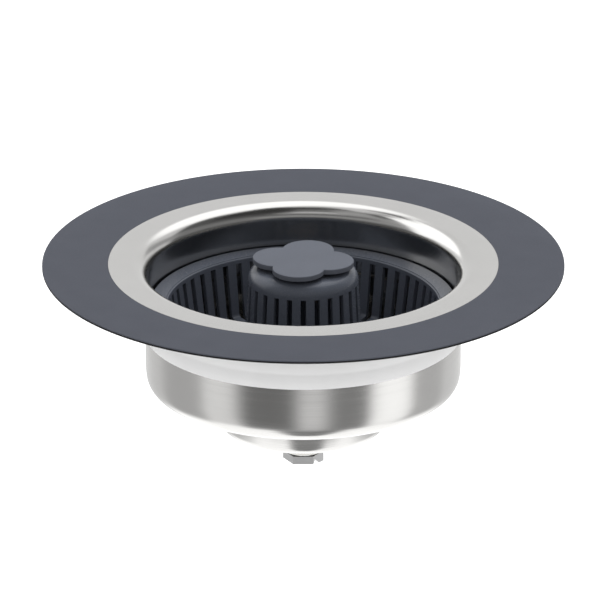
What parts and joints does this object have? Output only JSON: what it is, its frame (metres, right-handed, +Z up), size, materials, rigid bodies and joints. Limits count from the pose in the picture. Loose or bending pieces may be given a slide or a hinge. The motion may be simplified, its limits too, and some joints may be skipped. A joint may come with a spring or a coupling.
{
  "type": "pop-up sink drain",
  "caption": "Drop-in pop-up sink drain: flanged steel cup on a dark seat ring, slotted lift-out basket with a push knob, sprung stopper.",
  "frame": {"origin": "centre of the seat ring's underside, in the plane where it lies on the sink floor", "axes": "+Z up along the drain's axis, out of the sink; -Y is the side seen in the picture"},
  "size_m": [0.1402, 0.1402, 0.0587],
  "materials": {
    "seat_silicone": "flat matte, dark blue-grey",
    "cup_steel": "satin",
    "white_silicone": "soft satin, pale",
    "basket_plastic": "semi-matte, dark blue-grey",
    "knob_plastic": "matte",
    "plated_steel": "bright plated",
    "spring_steel": "drawn wire",
    "core_brass": "machined",
    "pale_nylon": "matte",
    "black_rubber": "matte"
  },
  "bodies": {
    "drain_body": {"seat_ring": "seat_silicone", "drain_cup": "cup_steel", "sealing_sleeve": "white_silicone", "core_housing": "core_brass", "housing_cap": "core_brass", "core_gasket": "black_rubber", "clamp_washer": "plated_steel", "lock_nut": "core_brass", "return_spring": "spring_steel"},
    "plunger": {"plunger_rod": "plated_steel", "stopper_plate": "plated_steel", "stopper_seal": "black_rubber", "plunger_post": "core_brass", "post_ring": "black_rubber", "push_cam": "pale_nylon", "rotor_clip": "plated_steel", "stop_washer": "pale_nylon", "end_nut": "plated_steel"},
    "rotor": {"ratchet_rotor": "pale_nylon"},
    "basket": {"strainer_basket": "basket_plastic", "centre_tower": "basket_plastic", "knob": "knob_plastic", "knob_screw": "plated_steel"}
  },
  "joints": [
    {"name": "pop_up", "type": "slide", "parent": "drain_body", "child": "plunger", "axis": [0, 0, 1], "range_m": [-0.0055, 0], "stiffness_N_per_m": 400, "springref_m": 0.01, "deforming": ["return_spring"]},
    {"name": "rotor_turn", "type": "hinge", "parent": "plunger", "child": "rotor", "pos_m": [0, 0, -0.041], "axis": [0, 0, 1], "range_deg": [0, 45]},
    {"name": "basket_lift", "type": "slide", "parent": "plunger", "child": "basket", "axis": [0, 0, 1], "range_m": [0, 0.06]}
  ],
  "couplings": [
    {"joint": "rotor_turn", "follows": "pop_up", "rad_per_m": -142}
  ]
}
